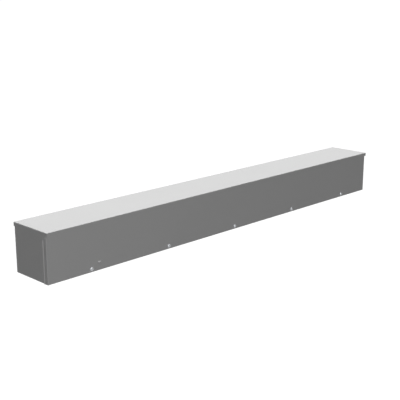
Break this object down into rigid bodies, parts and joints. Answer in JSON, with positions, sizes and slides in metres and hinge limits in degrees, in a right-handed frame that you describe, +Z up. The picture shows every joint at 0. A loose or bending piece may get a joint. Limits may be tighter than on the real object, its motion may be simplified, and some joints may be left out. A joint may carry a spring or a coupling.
{
  "type": "screw cover wireway",
  "caption": "Long square steel wireway box with a drip hood over its top and a slip-on front cover held by a row of screws along the bottom edge, for running cables outdoors.",
  "frame": {"origin": "middle of the bottom of the part's box", "axes": "+X along the wireway, -Y towards the cover, +Y towards the wall, +Z up"},
  "size_m": [1.528, 0.1652, 0.1524],
  "materials": {
    "grey_powder_coat": "satin grey powder coat over galvanised sheet steel",
    "zinc_plate": "bright zinc plate"
  },
  "bodies": {
    "root": {"trough": "grey_powder_coat", "end_plate_left": "grey_powder_coat", "end_plate_right": "grey_powder_coat", "drip_hood": "grey_powder_coat", "front_cover": "grey_powder_coat", "cover_screw_1": "zinc_plate", "cover_screw_2": "zinc_plate", "cover_screw_3": "zinc_plate", "cover_screw_4": "zinc_plate", "cover_screw_5": "zinc_plate"}
  },
  "joints": []
}
